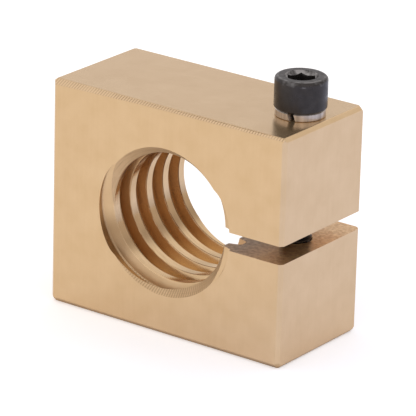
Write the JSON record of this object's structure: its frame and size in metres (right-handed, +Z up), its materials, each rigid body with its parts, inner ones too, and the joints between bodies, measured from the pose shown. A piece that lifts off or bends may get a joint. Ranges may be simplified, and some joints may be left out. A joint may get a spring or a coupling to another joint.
{
  "type": "lead screw nut",
  "caption": "Split bronze nut block with an internal left-hand trapezoidal thread, closed across its slot by a socket head screw on a spring washer.",
  "frame": {"origin": "on the lead thread's axis, half-way between the front and back faces", "axes": "+X towards the slotted side, +Y along the thread from the front face to the back face, +Z up, towards the screw head"},
  "size_m": [0.0532, 0.0254, 0.052],
  "materials": {
    "nut_bronze": "finely milled, satin",
    "washer_steel": "satin grey",
    "screw_black_oxide": "black oxide, semi-matt"
  },
  "bodies": {
    "nut": {"nut_body": "nut_bronze"},
    "washer": {"lock_washer": "washer_steel"},
    "screw": {"clamp_screw": "screw_black_oxide"}
  },
  "joints": [
    {"name": "screw_rise", "type": "slide", "parent": "nut", "child": "washer", "axis": [0, 0, 1], "range_m": [0, 0.003]},
    {"name": "screw_turn", "type": "hinge", "parent": "washer", "child": "screw", "pos_m": [0.0204, 0.0006, 0.02361], "axis": [0, 0, 1], "range_deg": [0, 1080]}
  ],
  "couplings": [
    {"joint": "screw_turn", "follows": "screw_rise", "rad_per_m": 6283}
  ]
}
